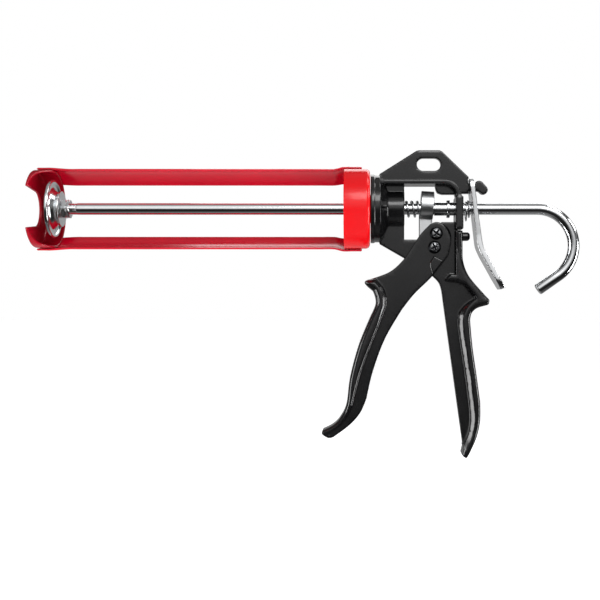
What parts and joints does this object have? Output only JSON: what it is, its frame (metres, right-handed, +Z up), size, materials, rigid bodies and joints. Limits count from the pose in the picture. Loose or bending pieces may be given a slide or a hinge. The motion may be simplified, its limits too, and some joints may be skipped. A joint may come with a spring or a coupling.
{
  "type": "caulking gun",
  "caption": "Open-cradle caulking gun: turning steel cradle on a cast body, friction-driven push rod with hook, squeeze trigger, thumb release lever and hanging slot.",
  "frame": {"origin": "middle of the hanging slot in the cast body, on the gun's mid-plane", "axes": "+X along the push rod towards its hook, -Y the open side of the cradle, +Z up with the grips hanging down"},
  "size_m": [0.3678, 0.0536, 0.2064],
  "materials": {
    "black_enamel": "semi-gloss black stoving enamel on die casting",
    "red_enamel": "gloss red enamel on pressed steel",
    "zinc_plate": "bright zinc plate",
    "spring_steel": "drawn spring wire",
    "black_screw": "blackened steel, worn bright at the cross recess"
  },
  "bodies": {
    "body": {"body_casting": "black_enamel", "barrel_lock_nut": "zinc_plate", "barrel_wave_washer": "spring_steel", "rear_bushing": "zinc_plate", "bushing_clip": "zinc_plate", "pivot_screw": "black_screw", "pivot_nut": "black_screw", "drive_spring": "spring_steel", "release_spring": "spring_steel", "release_washer": "zinc_plate"},
    "cradle": {"rear_ring": "red_enamel", "front_cup": "red_enamel", "upper_rail": "red_enamel", "lower_rail": "red_enamel"},
    "trigger": {"trigger_lever": "black_enamel", "drive_screw": "black_screw", "drive_nut": "black_screw"},
    "driver": {"driver_block": "zinc_plate"},
    "release": {"release_lever": "zinc_plate"},
    "plunger": {"plunger_disc": "zinc_plate", "plunger_washer": "zinc_plate"},
    "rod": {"push_rod": "zinc_plate", "plunger_front_nut": "zinc_plate", "plunger_rear_nut": "zinc_plate", "plunger_lock_nut": "zinc_plate"}
  },
  "joints": [
    {"name": "cradle_turn", "type": "hinge", "parent": "body", "child": "cradle", "pos_m": [-0.0391, 0, -0.0298], "axis": [1, 0, 0], "continuous": true},
    {"name": "trigger_squeeze", "type": "hinge", "parent": "body", "child": "trigger", "pos_m": [0.0036, 0, -0.0559], "axis": [0, -1, 0], "range_deg": [0, 26], "stiffness_Nm_per_rad": 0.6, "springref_deg": -22.92},
    {"name": "driver_slide", "type": "slide", "parent": "body", "child": "driver", "axis": [-1, 0, 0], "range_m": [0, 0.0045], "deforming": ["drive_spring"]},
    {"name": "release_press", "type": "hinge", "parent": "body", "child": "release", "pos_m": [0.0305, 0, -0.0138], "axis": [0, 1, 0], "range_deg": [0, 5], "stiffness_Nm_per_rad": 0.3, "springref_deg": -17.19, "deforming": ["release_spring"]},
    {"name": "rod_slide", "type": "slide", "parent": "body", "child": "plunger", "axis": [1, 0, 0], "range_m": [0, 0.19]},
    {"name": "rod_turn", "type": "hinge", "parent": "plunger", "child": "rod", "pos_m": [-0.0391, 0, -0.0298], "axis": [1, 0, 0], "continuous": true}
  ],
  "couplings": [
    {"joint": "driver_slide", "follows": "trigger_squeeze", "m_per_rad": 0.0093}
  ]
}
